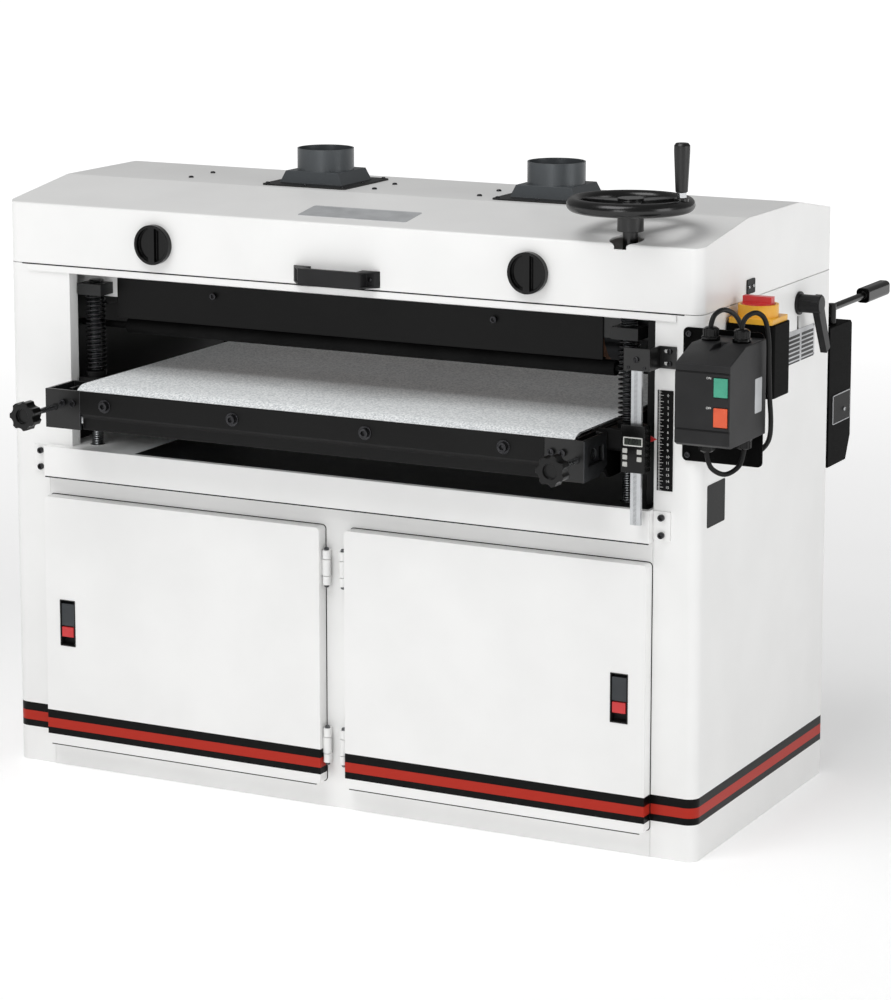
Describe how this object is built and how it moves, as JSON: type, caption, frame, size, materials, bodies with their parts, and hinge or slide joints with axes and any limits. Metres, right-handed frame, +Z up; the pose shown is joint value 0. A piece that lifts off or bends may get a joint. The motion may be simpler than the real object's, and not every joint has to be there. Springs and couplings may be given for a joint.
{
  "type": "dual-drum sander",
  "caption": "White cabinet drum sander with a conveyor feed table on lift screws, hinged hood with dust collars, handwheel, switch box and cabinet doors.",
  "frame": {"origin": "on the floor, at the middle of the cabinet's footprint", "axes": "+X to the right along the drums as seen from the infeed side, +Y from the infeed side to the outfeed side, +Z up"},
  "size_m": [1.4568, 1.13, 1.1738],
  "materials": {
    "white_paint": "satin",
    "black_paint": "satin",
    "bright_steel": "machined",
    "chain_steel": "oiled",
    "cast_iron": "painted",
    "motor_paint": "satin",
    "drive_rubber": "matte",
    "belt_cloth": "abrasive cloth",
    "abrasive": "abrasive cloth",
    "black_plastic": "matte",
    "charcoal_plastic": "matte",
    "red_plastic": "gloss",
    "green_plastic": "gloss",
    "yellow_plastic": "gloss",
    "cable_rubber": "matte",
    "spring_steel": "oiled"
  },
  "bodies": {
    "cabinet": {"left_side_panel": "white_paint", "right_side_panel": "white_paint", "base_cabinet": "white_paint", "cross_members": "white_paint", "head_frame": "black_paint", "bearing_blocks": "cast_iron", "main_motor": "motor_paint", "drive_belt": "drive_rubber", "lift_chain": "chain_steel", "switch_plate": "black_paint", "switch_box": "charcoal_plastic", "switch_cables": "cable_rubber", "disconnect_box": "black_plastic", "disconnect_flange": "yellow_plastic", "depth_scale": "black_paint", "readout_beam": "bright_steel", "hinges": "white_paint", "frame_bolts": "black_paint"},
    "table": {"table_bed": "black_paint", "conveyor_belt": "belt_cloth", "front_bar": "black_paint", "tension_brackets": "cast_iron", "lift_nuts": "black_paint", "feed_motor": "motor_paint", "feed_guard": "black_paint", "readout_head": "black_plastic", "depth_pointer": "red_plastic", "table_bolts": "bright_steel", "lift_springs": "spring_steel"},
    "hood": {"hood": "white_paint", "dust_ports": "black_paint", "hood_handle": "charcoal_plastic"},
    "idler_roller": {"idler_roller": "bright_steel"},
    "drive_roller": {"drive_roller": "bright_steel"},
    "left_tension_knob": {"left_tension_knob": "black_plastic"},
    "right_tension_knob": {"right_tension_knob": "black_plastic"},
    "feed_lever": {"feed_lever": "black_plastic"},
    "front_drum": {"front_drum": "abrasive"},
    "rear_drum": {"rear_drum": "abrasive"},
    "motor_pulley": {"motor_pulley": "cast_iron"},
    "infeed_pressure_roller": {"infeed_pressure_roller": "bright_steel"},
    "outfeed_pressure_roller": {"outfeed_pressure_roller": "bright_steel"},
    "lift_screw_front_left": {"lift_screw_front_left": "bright_steel"},
    "lift_screw_front_right": {"lift_screw_front_right": "bright_steel"},
    "lift_screw_rear_left": {"lift_screw_rear_left": "bright_steel"},
    "lift_screw_rear_right": {"lift_screw_rear_right": "bright_steel"},
    "left_hood_knob": {"left_hood_knob": "black_plastic"},
    "right_hood_knob": {"right_hood_knob": "black_plastic"},
    "handwheel": {"handwheel": "black_paint"},
    "handwheel_grip": {"handwheel_grip": "black_plastic"},
    "left_door": {"left_door": "white_paint"},
    "right_door": {"right_door": "white_paint"},
    "left_latch_lever": {"left_latch_lever": "charcoal_plastic"},
    "right_latch_lever": {"right_latch_lever": "charcoal_plastic"},
    "left_latch_button": {"left_latch_button": "red_plastic"},
    "right_latch_button": {"right_latch_button": "red_plastic"},
    "start_button": {"start_button": "green_plastic"},
    "stop_button": {"stop_button": "red_plastic"},
    "disconnect_knob": {"disconnect_knob": "red_plastic"},
    "lock_lever": {"lock_lever": "charcoal_plastic"}
  },
  "joints": [
    {"name": "hood_open", "type": "hinge", "parent": "cabinet", "child": "hood", "pos_m": [0, 0.3045, 0.904], "axis": [-1, 0, 0], "range_deg": [0, 60]},
    {"name": "handwheel_turn", "type": "hinge", "parent": "hood", "child": "handwheel", "pos_m": [0.518, -0.2525, 1.071], "axis": [0, 0, -1], "range_deg": [-2520, 4752]},
    {"name": "grip_spin", "type": "hinge", "parent": "handwheel", "child": "handwheel_grip", "pos_m": [0.6065, -0.2525, 1.12], "axis": [0, 0, 1], "continuous": true},
    {"name": "table_lift", "type": "slide", "parent": "cabinet", "child": "table", "axis": [0, 0, 1], "range_m": [-0.035, 0.066], "deforming": ["lift_springs"]},
    {"name": "front_left_screw_turn", "type": "hinge", "parent": "cabinet", "child": "lift_screw_front_left", "pos_m": [-0.506, -0.2525, 0.7], "axis": [0, 0, -1], "range_deg": [-2520, 4752]},
    {"name": "front_right_screw_turn", "type": "hinge", "parent": "cabinet", "child": "lift_screw_front_right", "pos_m": [0.518, -0.2525, 0.7], "axis": [0, 0, -1], "range_deg": [-2520, 4752]},
    {"name": "rear_left_screw_turn", "type": "hinge", "parent": "cabinet", "child": "lift_screw_rear_left", "pos_m": [-0.506, 0.2525, 0.7], "axis": [0, 0, -1], "range_deg": [-2520, 4752]},
    {"name": "rear_right_screw_turn", "type": "hinge", "parent": "cabinet", "child": "lift_screw_rear_right", "pos_m": [0.518, 0.2525, 0.7], "axis": [0, 0, -1], "range_deg": [-2520, 4752]},
    {"name": "front_drum_spin", "type": "hinge", "parent": "cabinet", "child": "front_drum", "pos_m": [0, -0.115, 0.858], "axis": [1, 0, 0], "continuous": true},
    {"name": "rear_drum_spin", "type": "hinge", "parent": "cabinet", "child": "rear_drum", "pos_m": [0, 0.115, 0.858], "axis": [1, 0, 0], "continuous": true},
    {"name": "motor_spin", "type": "hinge", "parent": "cabinet", "child": "motor_pulley", "pos_m": [-0.6, 0, 0.143], "axis": [1, 0, 0], "continuous": true},
    {"name": "infeed_roller_spin", "type": "hinge", "parent": "cabinet", "child": "infeed_pressure_roller", "pos_m": [0, -0.208, 0.793], "axis": [1, 0, 0], "continuous": true},
    {"name": "outfeed_roller_spin", "type": "hinge", "parent": "cabinet", "child": "outfeed_pressure_roller", "pos_m": [0, 0.208, 0.793], "axis": [1, 0, 0], "continuous": true},
    {"name": "feed_drive_spin", "type": "hinge", "parent": "table", "child": "drive_roller", "pos_m": [0.006, 0.3525, 0.677], "axis": [1, 0, 0], "continuous": true},
    {"name": "feed_idler_spin", "type": "hinge", "parent": "table", "child": "idler_roller", "pos_m": [0.006, -0.3525, 0.677], "axis": [1, 0, 0], "continuous": true},
    {"name": "left_tension_turn", "type": "hinge", "parent": "table", "child": "left_tension_knob", "pos_m": [-0.494, -0.4, 0.677], "axis": [0, 1, 0], "range_deg": [-360, 360]},
    {"name": "right_tension_turn", "type": "hinge", "parent": "table", "child": "right_tension_knob", "pos_m": [0.496, -0.4, 0.677], "axis": [0, 1, 0], "range_deg": [-360, 360]},
    {"name": "feed_lever_swing", "type": "hinge", "parent": "table", "child": "feed_lever", "pos_m": [0.634, 0.3605, 0.82], "axis": [0, 0, 1], "range_deg": [-40, 40]},
    {"name": "left_hood_knob_turn", "type": "hinge", "parent": "hood", "child": "left_hood_knob", "pos_m": [-0.357, -0.2925, 0.954], "axis": [0, 1, 0], "range_deg": [0, 90]},
    {"name": "right_hood_knob_turn", "type": "hinge", "parent": "hood", "child": "right_hood_knob", "pos_m": [0.357, -0.2925, 0.954], "axis": [0, 1, 0], "range_deg": [0, 90]},
    {"name": "left_door_swing", "type": "hinge", "parent": "cabinet", "child": "left_door", "pos_m": [-0.016, -0.3045, 0.27], "axis": [0, 0, 1], "range_deg": [0, 85]},
    {"name": "right_door_swing", "type": "hinge", "parent": "cabinet", "child": "right_door", "pos_m": [0.016, -0.3045, 0.27], "axis": [0, 0, -1], "range_deg": [0, 85]},
    {"name": "left_latch_pull", "type": "hinge", "parent": "left_door", "child": "left_latch_lever", "pos_m": [-0.534, -0.3098, 0.301], "axis": [-1, 0, 0], "range_deg": [0, 40]},
    {"name": "left_latch_press", "type": "slide", "parent": "left_door", "child": "left_latch_button", "axis": [0, 1, 0], "range_m": [0, 0.003], "stiffness_N_per_m": 300},
    {"name": "right_latch_pull", "type": "hinge", "parent": "right_door", "child": "right_latch_lever", "pos_m": [0.534, -0.3098, 0.301], "axis": [-1, 0, 0], "range_deg": [0, 40]},
    {"name": "right_latch_press", "type": "slide", "parent": "right_door", "child": "right_latch_button", "axis": [0, 1, 0], "range_m": [0, 0.003], "stiffness_N_per_m": 300},
    {"name": "start_press", "type": "slide", "parent": "cabinet", "child": "start_button", "axis": [0, 1, 0], "range_m": [0, 0.003], "stiffness_N_per_m": 400},
    {"name": "stop_press", "type": "slide", "parent": "cabinet", "child": "stop_button", "axis": [0, 1, 0], "range_m": [0, 0.003], "stiffness_N_per_m": 400},
    {"name": "disconnect_turn", "type": "hinge", "parent": "cabinet", "child": "disconnect_knob", "pos_m": [0.702, -0.1555, 0.9], "axis": [0, 0, -1], "range_deg": [0, 90]},
    {"name": "lock_lever_turn", "type": "hinge", "parent": "cabinet", "child": "lock_lever", "pos_m": [0.68, 0.1315, 0.866], "axis": [1, 0, 0], "range_deg": [-45, 45]}
  ],
  "couplings": [
    {"joint": "table_lift", "follows": "handwheel_turn", "m_per_rad": 0.00079577},
    {"joint": "front_left_screw_turn", "follows": "handwheel_turn", "ratio": 1},
    {"joint": "front_right_screw_turn", "follows": "handwheel_turn", "ratio": 1},
    {"joint": "rear_left_screw_turn", "follows": "handwheel_turn", "ratio": 1},
    {"joint": "rear_right_screw_turn", "follows": "handwheel_turn", "ratio": 1},
    {"joint": "rear_drum_spin", "follows": "front_drum_spin", "ratio": 1},
    {"joint": "motor_spin", "follows": "front_drum_spin", "ratio": 1.1667},
    {"joint": "feed_idler_spin", "follows": "feed_drive_spin", "ratio": 1}
  ]
}
